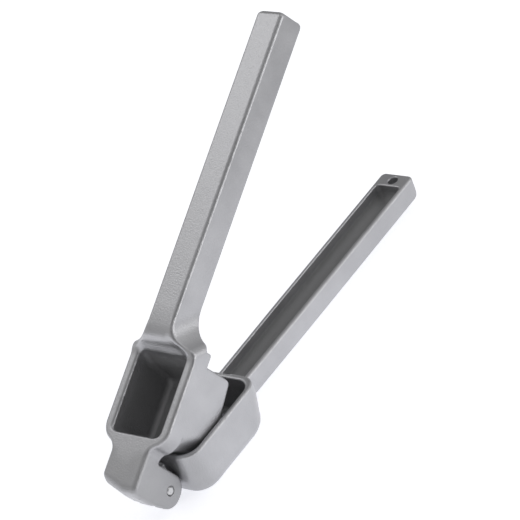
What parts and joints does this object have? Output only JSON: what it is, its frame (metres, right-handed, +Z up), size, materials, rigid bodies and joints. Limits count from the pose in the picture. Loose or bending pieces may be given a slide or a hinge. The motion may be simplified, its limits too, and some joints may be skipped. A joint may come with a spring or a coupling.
{
  "type": "garlic press",
  "caption": "Two-arm cast garlic press: a perforated cup on one arm, a hollow plunger on the other, joined by a hinge pin.",
  "frame": {"origin": "centre of the bounding box in plan, at the underside of the cup", "axes": "+X from the hinge to the handle ends along the cup arm, +Y along the hinge pin, +Z up out of the cup's mouth"},
  "size_m": [0.1772, 0.0348, 0.1062],
  "materials": {
    "cast_aluminium": "satin, as cast and tumbled",
    "pin_steel": "turned"
  },
  "bodies": {
    "cup_arm": {"cup_arm": "cast_aluminium"},
    "plunger_arm": {"plunger_arm": "cast_aluminium", "hinge_pin": "pin_steel"}
  },
  "joints": [
    {"name": "hinge", "type": "hinge", "parent": "cup_arm", "child": "plunger_arm", "pos_m": [-0.07502, 0, 0.0081], "axis": [0, -1, 0], "range_deg": [-27, 123]}
  ]
}
